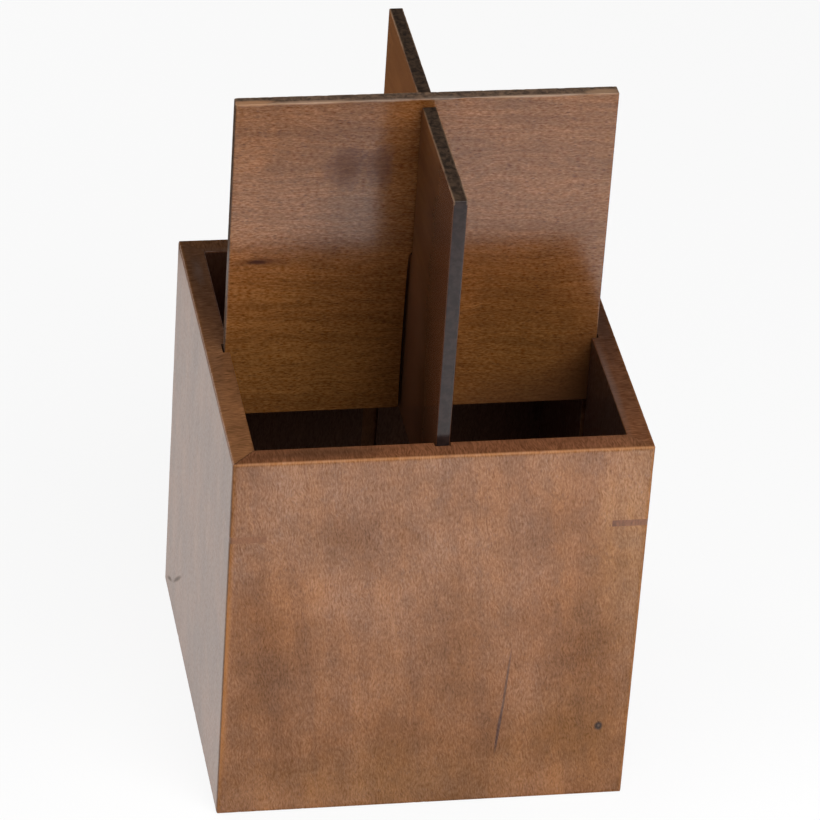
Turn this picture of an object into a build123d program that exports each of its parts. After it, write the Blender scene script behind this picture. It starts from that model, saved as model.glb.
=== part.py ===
import os
from math import sqrt

from build123d import *

# Square wooden caddy with a lift-out cross divider. Millimetres, +Z up, front at -Y.
# The origin is at the middle of the foot, on the surface that the box stands on.

# Box
box_width = 120.0  # side to side
box_depth = 120.0  # front to back
box_height = 122.0
wall_thickness = 7.0
corner_round = 1.0  # upright outer corners
rim_round = 0.8  # outer arris along the rim and along the foot
mouth_round = 0.4  # inner arris along the rim

# Floor of the box, held in a groove round the inside of the walls
base_thickness = 4.0
base_inset = 3.0  # underside of the floor above the foot
base_groove_depth = 3.0
base_fit = 0.15  # room round the floor's edge and above it in the groove

# Divider boards: two of one size, the upper one slotted down over the lower one
board_thickness = 4.0
board_height = 103.0
board_grip = 21.6  # how far the upper board reaches below the rim as it stands
board_proud = 2.0  # how far the upper board stands above the lower one
board_corner_round = 0.4
board_arris_round = 0.3
groove_depth = 2.0  # upright grooves in the walls that the board ends slide in
groove_play = 0.3  # room beside a board in its groove, each side
end_play = 0.5  # room between a board's end and the bottom of its groove
slot_play = 0.5  # room beside a board in the other board's slot, each side
slot_shift = 1.8  # the upper board's slot is deeper than the mean by this, the lower one's shallower
slot_mouth_round = 1.0
seat_gap = 0.2  # between the two closed slot ends, where one board rests on the other

# Keys let into the two front corners
key_thickness = 2.1
key_reach = 10.5  # along each face from the corner
key_drop = 25.6  # middle of a key below the rim

# Worked out from the sizes above
base_top = base_inset + base_thickness
base_overlap = base_groove_depth - base_fit
board_overlap = groove_depth - end_play
upper_middle = box_height - board_grip + board_height / 2
lower_middle = upper_middle - board_proud
groove_width = board_thickness + 2 * groove_play
key_bottom = box_height - key_drop - key_thickness / 2
slot_width = board_thickness + 2 * slot_play
slot_radius = slot_width / 2
slot_rise = sqrt(slot_radius**2 - (board_thickness / 2) ** 2)  # round end above the board's arris
slot_mean = (board_height - board_proud + seat_gap) / 2 + slot_radius - slot_rise


def build_wall(turn, run, across, key_ends=()):
    # One mitred wall, drawn as the front wall and turned about the box's middle.
    # key_ends holds 1 or -1 for each end of the wall whose corner is keyed.
    plan = Plane.XY.rotated((0, 0, turn))
    inward = Axis((0, 0, 0), plan.y_dir)
    outside = -across / 2
    inside = outside + wall_thickness
    with BuildPart() as wall:
        # Plan with a 45 degree mitre and half of each rounded corner
        with BuildSketch(plan):
            with BuildLine():
                Line((0, outside), (run / 2 - corner_round, outside))
                corner = CenterArc((run / 2 - corner_round, outside + corner_round), corner_round, -90, 45)
                Line(corner @ 1, (run / 2 - wall_thickness, inside))
                Line((run / 2 - wall_thickness, inside), (0, inside))
                mirror(about=Plane.YZ)
            make_face()
        extrude(amount=box_height)

        # Eased arrises: outer rim and foot, then the inner edge of the rim
        rim = wall.edges().group_by(Axis.Z)[-1].sort_by(inward)
        foot = wall.edges().group_by(Axis.Z)[0].sort_by(inward)
        fillet(rim[:3] + foot[:3], rim_round)
        fillet(wall.edges().group_by(Axis.Z)[-1].sort_by(inward)[-1], mouth_round)

        # Groove for the floor, all along the wall
        with BuildSketch(plan.offset(base_inset)):
            with Locations((0, inside - base_groove_depth / 2)):
                Rectangle(run, base_groove_depth)
        extrude(amount=base_thickness + base_fit, mode=Mode.SUBTRACT)

        # Groove for the end of a divider board, from the floor up through the rim
        with BuildSketch(plan.offset(base_top)):
            with Locations((0, inside - groove_depth / 2)):
                Rectangle(groove_width, groove_depth)
        extrude(amount=box_height - base_top, mode=Mode.SUBTRACT)

        # Saw cuts for the corner keys
        for key_end in key_ends:
            tip = key_end * run / 2
            with BuildSketch(plan.offset(key_bottom)):
                with BuildLine():
                    Polyline(
                        (tip, outside),
                        (tip - key_end * key_reach, outside),
                        (tip, outside + key_reach),
                        close=True,
                    )
                make_face()
            extrude(amount=key_thickness, mode=Mode.SUBTRACT)
    return wall.part


def build_board(face, run, slot_depth):
    # One divider board, drawn on its middle plane with its slot open downwards
    with BuildPart() as board:
        with BuildSketch(face):
            Rectangle(run, board_height)
            with Locations((0, (slot_depth - slot_radius - board_height) / 2)):
                Rectangle(slot_width, slot_depth - slot_radius, mode=Mode.SUBTRACT)
            with Locations((0, slot_depth - slot_radius - board_height / 2)):
                Circle(slot_radius, mode=Mode.SUBTRACT)
            low = vertices().group_by(Axis.Y)[0].sort_by(Axis.X)
            high = vertices().group_by(Axis.Y)[-1]
            fillet(high + [low[0], low[-1]], board_corner_round)
            fillet(vertices().group_by(Axis.Y)[0].sort_by(Axis.X)[1:3], slot_mouth_round)
        extrude(amount=board_thickness / 2, both=True)
        faces_of_board = board.faces().filter_by(Plane(face.origin, z_dir=face.z_dir))
        fillet(faces_of_board.edges(), board_arris_round)
    return board.part


front_panel = build_wall(turn=0, run=box_width, across=box_depth, key_ends=(-1, 1))
right_panel = build_wall(turn=90, run=box_depth, across=box_width, key_ends=(-1,))
back_panel = build_wall(turn=180, run=box_width, across=box_depth)
left_panel = build_wall(turn=270, run=box_depth, across=box_width, key_ends=(1,))

# Floor, lying on the lower side of its groove
with BuildPart() as base:
    with BuildSketch(Plane.XY.offset(base_inset)):
        Rectangle(
            box_width - 2 * wall_thickness + 2 * base_overlap,
            box_depth - 2 * wall_thickness + 2 * base_overlap,
        )
    extrude(amount=base_thickness)

# Keys, flush with both faces and with the rounded corner
right = box_width / 2
front = -box_depth / 2
with BuildPart() as right_key:
    with BuildSketch(Plane.XY.offset(key_bottom)):
        with BuildLine():
            near = Line((right - key_reach, front), (right - corner_round, front))
            bend = RadiusArc(near @ 1, (right, front + corner_round), -corner_round)
            side = Line(bend @ 1, (right, front + key_reach))
            Line(side @ 1, near @ 0)
        make_face()
    extrude(amount=key_thickness)
with BuildPart() as left_key:
    mirror(right_key.part, about=Plane.YZ)

# The side-to-side board stands slot down, the front-to-back board is turned over
across_plane = Plane((0, 0, upper_middle), x_dir=(1, 0, 0), z_dir=(0, -1, 0))
along_plane = Plane((0, 0, lower_middle), x_dir=(0, 1, 0), z_dir=(-1, 0, 0))
across_run = box_width - 2 * wall_thickness + 2 * board_overlap
along_run = box_depth - 2 * wall_thickness + 2 * board_overlap
side_to_side = build_board(across_plane, across_run, slot_mean + slot_shift)
front_to_back = build_board(along_plane, along_run, slot_mean - slot_shift)

pieces = {
    "front_panel": front_panel,
    "right_panel": right_panel,
    "back_panel": back_panel,
    "left_panel": left_panel,
    "base_panel": base.part,
    "front_right_key": right_key.part,
    "front_left_key": left_key.part,
    "side_to_side_divider": side_to_side,
    "front_to_back_divider": front_to_back,
}

os.makedirs("parts", exist_ok=True)
for name, piece in pieces.items():
    piece.label = name
    export_step(piece, f"parts/{name}.step")
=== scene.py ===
import math
import bpy
import bmesh
from mathutils import Matrix, Vector


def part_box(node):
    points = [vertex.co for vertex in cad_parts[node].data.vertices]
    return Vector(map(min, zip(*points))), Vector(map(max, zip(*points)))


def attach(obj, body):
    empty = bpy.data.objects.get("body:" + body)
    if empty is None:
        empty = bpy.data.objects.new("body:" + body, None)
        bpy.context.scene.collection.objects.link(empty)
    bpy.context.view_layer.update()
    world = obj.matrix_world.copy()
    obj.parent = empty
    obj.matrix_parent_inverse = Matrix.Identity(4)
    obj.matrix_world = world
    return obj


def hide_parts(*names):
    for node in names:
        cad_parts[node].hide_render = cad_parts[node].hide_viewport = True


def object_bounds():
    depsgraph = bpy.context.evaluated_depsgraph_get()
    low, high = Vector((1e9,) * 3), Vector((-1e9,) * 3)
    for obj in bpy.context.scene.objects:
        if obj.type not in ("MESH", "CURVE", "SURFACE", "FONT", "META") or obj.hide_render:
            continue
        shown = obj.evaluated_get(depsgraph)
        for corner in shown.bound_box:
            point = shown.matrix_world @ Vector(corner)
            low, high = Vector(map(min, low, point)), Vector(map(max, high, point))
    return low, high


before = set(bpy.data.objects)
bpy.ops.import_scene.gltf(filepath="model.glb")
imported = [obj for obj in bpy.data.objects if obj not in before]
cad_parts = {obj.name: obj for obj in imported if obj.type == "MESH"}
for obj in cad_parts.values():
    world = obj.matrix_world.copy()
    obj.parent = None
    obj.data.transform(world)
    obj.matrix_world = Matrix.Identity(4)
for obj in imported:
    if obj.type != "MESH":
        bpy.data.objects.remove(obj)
cadLow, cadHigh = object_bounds()
mm = 0.001
print("frame loaded:", len(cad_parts), "nodes")

# Sizes read from the frame
boxWidth = cadHigh.x - cadLow.x
boxDepth = cadHigh.y - cadLow.y
frontLow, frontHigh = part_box("front_panel")
boxHeight = frontHigh.z
wallThickness = frontHigh.y - frontLow.y
baseLow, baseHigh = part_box("base_panel")
keyLow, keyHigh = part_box("front_right_key")


# Mesh helpers

fineWeld = 1e-7
stepGrowth = 1.5


def gradedSteps(start, end, fine, coarse):
    # positions from start to end, close together near both ends
    half = abs(end - start) / 2
    steps = [0.0]
    step = fine
    while steps[-1] + stepGrowth * step < half:
        steps.append(steps[-1] + step)
        step = min(step * stepGrowth, coarse)
    steps += [2 * half - s for s in reversed(steps)]
    return [start + (end - start) * s / (2 * half) for s in steps]


def arcPoints(centre, radius, fromDeg, toDeg, count):
    angles = [math.radians(fromDeg + (toDeg - fromDeg) * i / count) for i in range(count + 1)]
    return [(centre[0] + radius * math.cos(a), centre[1] + radius * math.sin(a)) for a in angles]


def meshObject(name, points, faces):
    mesh = bpy.data.meshes.new(name)
    mesh.from_pydata(points, [], faces)
    piece = bpy.data.objects.new(name, mesh)
    bpy.context.scene.collection.objects.link(piece)
    return piece


def loftFaces(rings, count):
    # rings of count points each, joined one to the next and closed at both ends
    last = (rings - 1) * count
    faces = [list(range(count)), list(range(last, last + count))]
    for start in range(0, last, count):
        for i in range(count):
            j = (i + 1) % count
            faces.append((start + i, start + j, start + count + j, start + count + i))
    return faces


def cleanMesh(piece, weld):
    work = bmesh.new()
    work.from_mesh(piece.data)
    bmesh.ops.remove_doubles(work, verts=work.verts, dist=weld)
    bmesh.ops.recalc_face_normals(work, faces=work.faces)
    work.to_mesh(piece.data)
    work.free()


def bakeModifiers(piece):
    # the evaluated shape becomes the piece's own plain mesh
    bpy.context.view_layer.update()
    graph = bpy.context.evaluated_depsgraph_get()
    baked = bpy.data.meshes.new_from_object(piece.evaluated_get(graph), depsgraph=graph)
    piece.modifiers.clear()
    old = piece.data
    piece.data = baked
    bpy.data.meshes.remove(old)
    baked.name = piece.name


def prism(name, outline, low, high, turn):
    spin = Matrix.Rotation(turn, 4, "Z")
    points = [spin @ Vector((x, y, z)) for z in (low, high) for x, y in outline]
    solid = meshObject(name, points, loftFaces(2, len(outline)))
    cleanMesh(solid, fineWeld)
    return solid


def cutAway(piece, cutters):
    for cutter in cutters:
        cut = piece.modifiers.new("cut", "BOOLEAN")
        cut.operation = "DIFFERENCE"
        cut.solver = "EXACT"
        cut.object = cutter
    bakeModifiers(piece)
    for cutter in cutters:
        bpy.data.objects.remove(cutter)


def setAttribute(piece, name, values):
    layer = piece.data.attributes.new(name, "FLOAT", "POINT")
    layer.data.foreach_set("value", values)


def smoothFinish(piece, sharpDeg):
    piece.data.shade_smooth()
    piece.data.set_sharp_from_angle(angle=math.radians(sharpDeg))
    weigh = piece.modifiers.new("weigh", "WEIGHTED_NORMAL")
    weigh.keep_sharp = True
    bakeModifiers(piece)


# Node helpers, for shader trees and for geometry trees

def feed(tree, socket, value):
    # links another node's output, and sets anything else as a constant
    if isinstance(value, bpy.types.NodeSocket):
        tree.links.new(value, socket)
    else:
        socket.default_value = value


def newNode(tree, kind, feeds, **modes):
    # modes are the node's own settings, feeds go to its sockets
    node = tree.nodes.new(kind)
    for name, mode in modes.items():
        setattr(node, name, mode)
    for socket, value in feeds.items():
        feed(tree, node.inputs[socket], value)
    return node


def mathNode(tree, operation, first, second=None, clamp=False):
    feeds = {0: first} if second is None else {0: first, 1: second}
    return newNode(tree, "ShaderNodeMath", feeds, operation=operation, use_clamp=clamp).outputs[0]


def product(tree, *factors):
    total = factors[0]
    for factor in factors[1:]:
        total = mathNode(tree, "MULTIPLY", total, factor)
    return total


def aboutOne(tree, value, gain):
    return mathNode(tree, "ADD", 1.0, product(tree, value, gain))


def vectorNode(tree, operation, first, second=None):
    feeds = {0: first} if second is None else {0: first, 1: second}
    node = newNode(tree, "ShaderNodeVectorMath", feeds, operation=operation)
    return node.outputs["Value"] if operation in ("LENGTH", "DISTANCE") else node.outputs[0]


def axesOf(tree, vector):
    return newNode(tree, "ShaderNodeSeparateXYZ", {0: vector}).outputs


def rangeNode(tree, value, fromLow, fromHigh, toLow=0.0, toHigh=1.0, smooth=True):
    return newNode(tree, "ShaderNodeMapRange", {
        "Value": value, "From Min": fromLow, "From Max": fromHigh, "To Min": toLow, "To Max": toHigh,
    }, interpolation_type="SMOOTHSTEP" if smooth else "LINEAR").outputs[0]


def spreadNode(tree, value, low, high):
    # 0 becomes low and 1 becomes high, in a straight line
    return rangeNode(tree, value, 0.0, 1.0, low, high, smooth=False)


def mixColour(tree, factor, first, second, blend="MIX"):
    first, second = ((*end, 1.0) if isinstance(end, tuple) else end for end in (first, second))
    return newNode(tree, "ShaderNodeMix", {0: factor, 6: first, 7: second},
                   data_type="RGBA", blend_type=blend, clamp_factor=True).outputs[2]


def shadeColour(tree, colour, shade):
    grey = newNode(tree, "ShaderNodeCombineColor", {0: shade, 1: shade, 2: shade}).outputs[0]
    return mixColour(tree, 1.0, colour, grey, "MULTIPLY")


def noiseNode(tree, vector, detail=2.0, roughness=0.5, distortion=0.0, scale=1.0):
    return newNode(tree, "ShaderNodeTexNoise", {
        "Vector": vector, "Scale": scale, "Detail": detail,
        "Roughness": roughness, "Distortion": distortion}).outputs[0]


# Knocked arrises: small nicks pressed into the edges of a piece

nickInputs = ("Depth", "Spacing", "Bareness", "Seed")
nickRim = 0.16  # how softly a nick begins


def arrisNickTree():
    tree = bpy.data.node_groups.new("arrisNicks", "GeometryNodeTree")
    face = tree.interface
    face.new_socket("Geometry", in_out="INPUT", socket_type="NodeSocketGeometry")
    for name in nickInputs:
        face.new_socket(name, in_out="INPUT", socket_type="NodeSocketFloat")
    face.new_socket("Finish", in_out="INPUT", socket_type="NodeSocketMaterial")
    face.new_socket("Geometry", in_out="OUTPUT", socket_type="NodeSocketGeometry")
    given = tree.nodes.new("NodeGroupInput").outputs
    arris = newNode(tree, "GeometryNodeInputNamedAttribute", {"Name": "arris"}).outputs[0]
    grit = newNode(tree, "ShaderNodeTexNoise", {
        "Vector": tree.nodes.new("GeometryNodeInputPosition").outputs[0],
        "W": given["Seed"],
        "Scale": mathNode(tree, "DIVIDE", 1.0, given["Spacing"]),
        "Detail": 2.0,
    }, noise_dimensions="4D").outputs[0]
    nick = rangeNode(tree, grit, given["Bareness"], mathNode(tree, "ADD", given["Bareness"], nickRim))
    push = newNode(tree, "ShaderNodeVectorMath", {
        0: tree.nodes.new("GeometryNodeInputNormal").outputs[0],
        "Scale": product(tree, nick, arris, given["Depth"], -1.0),
    }, operation="SCALE").outputs[0]
    moved = newNode(tree, "GeometryNodeSetPosition", {"Geometry": given["Geometry"], "Offset": push})
    whole = newNode(tree, "GeometryNodeRealizeInstances", {0: moved.outputs[0]})
    dressed = newNode(tree, "GeometryNodeSetMaterial", {
        "Geometry": whole.outputs[0], "Material": given["Finish"]})
    newNode(tree, "NodeGroupOutput", {0: dressed.outputs[0]})
    return tree


nickTree = arrisNickTree()


def nickArrises(piece, values, finish):
    wear = piece.modifiers.new("nicks", "NODES")
    wear.node_group = nickTree
    sockets = {s.name: s.identifier for s in nickTree.interface.items_tree if s.in_out == "INPUT"}
    for name in nickInputs:
        wear[sockets[name]] = float(values[name])
    wear[sockets["Finish"]] = finish
    bakeModifiers(piece)


# Shader groups, all in millimetres

def shaderGroup(name, inputs, outputs):
    tree = bpy.data.node_groups.new(name, "ShaderNodeTree")
    face = tree.interface
    for socketName, kind, value in inputs:
        socket = face.new_socket(socketName, in_out="INPUT", socket_type="NodeSocket" + kind)
        socket.default_value = value
    for socketName in outputs:
        face.new_socket(socketName, in_out="OUTPUT", socket_type="NodeSocketFloat")
    return tree, tree.nodes.new("NodeGroupInput").outputs, tree.nodes.new("NodeGroupOutput").inputs


# Beech figure: X across the face, Y through the wood, Z along the grain.
# Flecks are dense and fine, pores few and dark, lines and bands follow the growth rings.

noiseSpan = (0.3, 0.7)  # the part of a noise's range that is used

figureValues = {
    "waverScale": 0.15,
    "longFleck": (1.0, 1.0, 4.0),
    "fleckShares": (0.7, 0.3),  # of short and of long flecks
    "fleckSpan": (0.33, 0.67),
    "poreScale": 0.8,
    "poreRim": (0.1, 0.5),
    "poreChoice": (0.45, 1.0),
    "warpSize": (16.0, 16.0, 30.0),
    "warpDepth": 7.0,
}


def beechFigureGroup(values):
    tree, given, out = shaderGroup("beechFigure", [
        ("Vector", "Vector", (0, 0, 0)),
        ("Fleck Size", "Vector", (0.42, 2.6, 1.35)),
        ("Band Size", "Vector", (7.0, 12.0, 90.0)),
        ("Line Pitch", "Float", 2.6),
        ("Sway", "Float", 3.0),
    ], ["Flecks", "Pores", "Bands", "Lines"])
    waver = newNode(tree, "ShaderNodeTexNoise", {
        "Vector": given["Vector"], "Scale": values["waverScale"], "Detail": 2.0}).outputs["Color"]
    sway = newNode(tree, "ShaderNodeCombineXYZ", {0: given["Sway"], 1: given["Sway"]}).outputs[0]
    shift = vectorNode(tree, "MULTIPLY", vectorNode(tree, "SUBTRACT", waver, (0.5, 0.5, 0.5)), sway)
    bent = vectorNode(tree, "ADD", given["Vector"], shift)
    fleckPlace = vectorNode(tree, "DIVIDE", bent, given["Fleck Size"])
    drawnOut = vectorNode(tree, "DIVIDE", fleckPlace, values["longFleck"])
    short, long = (product(tree, noiseNode(tree, place, roughness=0.55), share)
                   for place, share in zip((fleckPlace, drawnOut), values["fleckShares"]))
    flecks = rangeNode(tree, mathNode(tree, "ADD", short, long), *values["fleckSpan"], smooth=False)
    feed(tree, out["Flecks"], flecks)
    cells = newNode(tree, "ShaderNodeTexVoronoi", {
        "Vector": fleckPlace, "Scale": values["poreScale"]}).outputs
    pore = rangeNode(tree, cells["Distance"], *values["poreRim"], 1.0, 0.0)
    choice = newNode(tree, "ShaderNodeSeparateColor", {"Color": cells["Color"]}).outputs[0]
    feed(tree, out["Pores"], product(tree, pore, rangeNode(tree, choice, *values["poreChoice"])))
    bandPlace = vectorNode(tree, "DIVIDE", bent, given["Band Size"])
    bands = noiseNode(tree, bandPlace, detail=3.0, roughness=0.55, distortion=0.6)
    feed(tree, out["Bands"], rangeNode(tree, bands, *noiseSpan))
    rings = mathNode(tree, "DIVIDE", axesOf(tree, given["Vector"])["X"], given["Line Pitch"])
    warp = noiseNode(tree, vectorNode(tree, "DIVIDE", given["Vector"], values["warpSize"]))
    phase = mathNode(tree, "ADD", rings, product(tree, warp, values["warpDepth"]))
    ripple = mathNode(tree, "SINE", product(tree, phase, 2 * math.pi))
    feed(tree, out["Lines"], rangeNode(tree, ripple, -1.0, 1.0))
    return tree


# Blotchy stain: soft clouds a centimetre or two across, and a finer dapple
def stainCloudGroup():
    tree, given, out = shaderGroup("stainClouds", [
        ("Vector", "Vector", (0, 0, 0)),
        ("Cloud Size", "Vector", (22.0, 22.0, 26.0)),
        ("Dapple Size", "Vector", (4.5, 4.5, 6.0)),
    ], ["Clouds", "Dapple"])
    largePlace, smallPlace = (vectorNode(tree, "DIVIDE", given["Vector"], given[size])
                              for size in ("Cloud Size", "Dapple Size"))
    large = noiseNode(tree, largePlace, detail=3.0, distortion=0.4)
    feed(tree, out["Clouds"], rangeNode(tree, large, *noiseSpan))
    feed(tree, out["Dapple"], rangeNode(tree, noiseNode(tree, smallPlace), *noiseSpan))
    return tree


# Rubbed arrises: where the stain is worn thin along an edge
def rubbedArrisGroup():
    tree, given, out = shaderGroup("rubbedArris", [
        ("Vector", "Vector", (0, 0, 0)),
        ("Arris", "Float", 0.0),
        ("Patch Size", "Float", 12.0),
        ("Reach", "Float", 0.5),
        ("Bareness", "Float", 0.5),
        ("Patch Rim", "Float", 0.2),
        ("Full Arris", "Float", 0.85),
    ], ["Rubbed"])
    scale = mathNode(tree, "DIVIDE", 1.0, given["Patch Size"])
    broad = noiseNode(tree, given["Vector"], detail=5.0, roughness=0.6, scale=scale)
    patchEnd = mathNode(tree, "ADD", given["Bareness"], given["Patch Rim"])
    patch = rangeNode(tree, broad, given["Bareness"], patchEnd)
    edgeStart = mathNode(tree, "SUBTRACT", 1.0, given["Reach"])
    edge = rangeNode(tree, given["Arris"], edgeStart, given["Full Arris"])
    feed(tree, out["Rubbed"], product(tree, edge, patch))
    return tree


# One mark on a surface, for marks in the wood and for painted light and shade: an ellipsoid about the
# vector's origin, with a soft and ragged rim
def markAndShadeGroup():
    tree, given, out = shaderGroup("markAndShade", [
        ("Vector", "Vector", (0, 0, 0)),
        ("Radii", "Vector", (1, 1, 1)),
        ("Ragged", "Float", 0.2),
        ("Softness", "Float", 0.4),
        ("Rag Scale", "Float", 2.3),
    ], ["Mark"])
    away = vectorNode(tree, "DIVIDE", given["Vector"], given["Radii"])
    rough = noiseNode(tree, away, detail=3.0, roughness=0.6, scale=given["Rag Scale"])
    ragged = product(tree, mathNode(tree, "SUBTRACT", rough, 0.5), given["Ragged"])
    reach = mathNode(tree, "ADD", vectorNode(tree, "LENGTH", away), ragged)
    rimStart = mathNode(tree, "SUBTRACT", 1.0, given["Softness"])
    feed(tree, out["Mark"], rangeNode(tree, reach, rimStart, 1.0, 1.0, 0.0))
    return tree


figureTree = beechFigureGroup(figureValues)
cloudTree = stainCloudGroup()
rubbedTree = rubbedArrisGroup()
markTree = markAndShadeGroup()
print("shader groups made")


# Material helpers

woodValues = {
    "bumpDepth": 0.04 * mm,
    "fleckRise": 0.6,  # height of a fleck beside the depth of a pore
    "cloudDepth": 25.0,
    "cloudRim": {"ragged": 0.8, "softness": 0.95},
}


def placeGroup(tree, group, feeds):
    return newNode(tree, "ShaderNodeGroup", feeds, node_tree=group).outputs


def newMaterial(name):
    material = bpy.data.materials.new(name)
    material.use_nodes = True
    tree = material.node_tree
    place = tree.nodes.new("ShaderNodeTexCoord").outputs["Object"]
    inMm = vectorNode(tree, "MULTIPLY", place, (1 / mm,) * 3)
    return material, tree, tree.nodes["Principled BSDF"], inMm


def attributeValues(tree, *names):
    return [newNode(tree, "ShaderNodeAttribute", {}, attribute_name=name).outputs["Fac"] for name in names]


def normalAxes(tree):
    return axesOf(tree, tree.nodes.new("ShaderNodeNewGeometry").outputs["Normal"])


def turnVector(tree, vector, turnDeg, shift=(0, 0, 0)):
    turn = tuple(math.radians(angle) for angle in turnDeg)
    return newNode(tree, "ShaderNodeMapping", {
        "Vector": vector, "Rotation": turn, "Location": shift}).outputs[0]


def spot(centre, radii, strength, colour=None, ragged=0.3, softness=0.6, turn=0.0, tilt=0.0):
    # one mark in millimetres; turn leans it about Y and tilt about X, in degrees
    return {"centre": centre, "radii": radii, "strength": strength, "colour": colour,
            "ragged": ragged, "softness": softness, "lean": (tilt, turn, 0.0)}


def markAmount(tree, vector, spec):
    offset = vectorNode(tree, "SUBTRACT", vector, spec["centre"])
    if any(spec["lean"]):
        offset = turnVector(tree, offset, spec["lean"])
    mark = placeGroup(tree, markTree, {
        "Vector": offset, "Radii": spec["radii"], "Ragged": spec["ragged"], "Softness": spec["softness"]})
    return product(tree, mark["Mark"], spec["strength"])


def paintMarks(tree, colour, vector, marks):
    for spec in marks:
        colour = mixColour(tree, markAmount(tree, vector, spec), colour, spec["colour"])
    return colour


def dullGloss(tree, gloss, vector, patches):
    for spec in patches:
        gloss = product(tree, gloss, mathNode(tree, "SUBTRACT", 1.0, markAmount(tree, vector, spec)))
    return gloss


def cloudShade(tree, vector, clouds, face, tone):
    # lighter and darker patches on one face, added to the tone: stain, and in places painted light and
    # shade
    total = tone
    for x, z, wide, tall, strength in clouds:
        radii = (wide, woodValues["cloudDepth"], tall)
        patch = markAmount(tree, vector, spot((x, face, z), radii, strength, **woodValues["cloudRim"]))
        total = mathNode(tree, "ADD", total, patch)
    return total


def rubArrises(tree, colour, vector, arris, finish, wear):
    rubbed = placeGroup(tree, rubbedTree, {**finish["rubbed"], "Vector": vector, "Arris": arris})["Rubbed"]
    return mixColour(tree, product(tree, rubbed, wear), colour, finish["worn"])


def figureHeight(tree, figure):
    flecks = product(tree, figure["Flecks"], woodValues["fleckRise"])
    return mathNode(tree, "SUBTRACT", flecks, figure["Pores"])


def finishShader(tree, shader, finish, colour, rough, coat, height, bump):
    # the lacquer is the coat, and gives walls and boards their only gloss
    shader.inputs["Specular IOR Level"].default_value = finish["specular"]
    shader.inputs["Coat Roughness"].default_value = finish["coatRoughness"]
    shader.inputs["Coat IOR"].default_value = finish["coatIor"]
    raised = newNode(tree, "ShaderNodeBump", {
        "Strength": bump, "Distance": woodValues["bumpDepth"], "Height": height}).outputs[0]
    feed(tree, shader.inputs["Base Color"], colour)
    feed(tree, shader.inputs["Roughness"], rough)
    feed(tree, shader.inputs["Coat Weight"], coat)
    feed(tree, shader.inputs["Normal"], raised)


# Walls: solid beech, brown stain, satin lacquer

wallValues = {
    "rimRound": 0.8 * mm,
    "mouthRound": 0.4 * mm,
    "cornerRound": 1.0 * mm,
    "grooveWidth": 4.6 * mm,
    "grooveDepth": 2.0 * mm,
    "floorGrooveDepth": 3.0 * mm,
    "floorFit": 0.15 * mm,
    "keyReach": keyHigh.x - keyLow.x,
    "fineStep": 0.25 * mm,
    "columnStep": 0.6 * mm,
    "rowStep": 6.0 * mm,
    "footStep": 2.0 * mm,
    "arcSteps": 5,
    "mouthSteps": 3,
    "arrisReach": 1.5 * mm,
    "jointReach": 0.4 * mm,
    "innerSlack": 0.05 * mm,
    "cutPast": 1.0 * mm,
    "weld": 1e-6,
    "sharpDeg": 40,
}

wallFinish = {
    "stain": (0.235, 0.0895, 0.025),
    "stainDark": (0.190, 0.0708, 0.020),
    "pore": (0.090, 0.032, 0.012),
    # inner faces: darker than the outside, partly their own unlacquered wood and partly painted shade
    "inside": (0.066, 0.040, 0.034),
    "joint": (0.020, 0.010, 0.006),
    "worn": (0.420, 0.180, 0.058),
    "gold": (1.0, 1.08, 0.97),
    "seedShift": (31.0, 0.0, 17.0),
    "upward": (0.60, 0.95),  # slopes that count as end grain
    "mottle": (1.12, 0.80),
    "frontMottle": (1.09, 0.90),
    "frontTone": 0.97,
    "frontFace": -60.0,
    "dapple": (0.93, 1.07),
    "fleckSpan": (-0.48, 0.52),
    "fleckStain": 0.50,
    "fleckGloss": 1.20,
    "endFigure": 1.5,
    "poreShow": 0.45,
    "insideShow": 0.8,
    "rubbed": {"Patch Size": 9.0, "Reach": 0.55, "Bareness": 0.30},
    "seamSpan": 30.0,
    "roughness": (0.26, 0.36),
    "endRoughness": 0.16,
    "arrisRoughness": 0.30,
    "endLacquer": 0.07,
    "arrisDull": 0.8,
    "bandGloss": (1.02, 0.97),
    "hazeSize": (9.0, 9.0, 11.0),
    "haze": (0.90, 1.10),
    "specular": 0.0,
    "coatRoughness": 0.30,
    "coatIor": 1.7,
    "bump": 0.55,
}

# Ends are left (-1) and right (1) as seen from outside; a seam is how dark the mitre shows there
anyWall = {"figure": 1.0, "stain": 1.0, "seam": (0.15, 0.15), "lacquer": 0.64}

# inside scales the inner faces' colour wall by wall, as painted light and shade for how much light reaches
# each
wallLayout = {
    "front_panel": {
        **anyWall, "finish": "frontBeech", "turn": 0, "slant": 7.0, "seed": 3.0, "keyEnds": (-1, 1),
        "wear": 0.55, "seam": (0.75, 0.15), "inside": 1.6, "endGrain": (0.146, 0.056, 0.0245),
    },
    "right_panel": {
        **anyWall, "finish": "rightBeech", "turn": 90, "slant": -3.0, "seed": 11.0, "keyEnds": (-1,),
        "wear": 0.30, "inside": 1.7, "endGrain": (0.130, 0.049, 0.019),
    },
    "back_panel": {
        **anyWall, "finish": "backBeech", "turn": 180, "slant": 4.0, "seed": 23.0, "keyEnds": (),
        "wear": 0.20, "inside": 0.8, "endGrain": (0.125, 0.050, 0.016),
    },
    "left_panel": {
        **anyWall, "finish": "leftBeech", "turn": 270, "slant": -2.0, "seed": 37.0, "keyEnds": (1,),
        "wear": 0.08, "seam": (0.15, 0.50), "inside": 1.1, "endGrain": (0.190, 0.082, 0.033),
        "figure": 0.4, "stain": 0.80, "lacquer": 0.92,
    },
}

wallNicks = {"Depth": 0.12 * mm, "Spacing": 2.6 * mm, "Bareness": 0.56}
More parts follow.
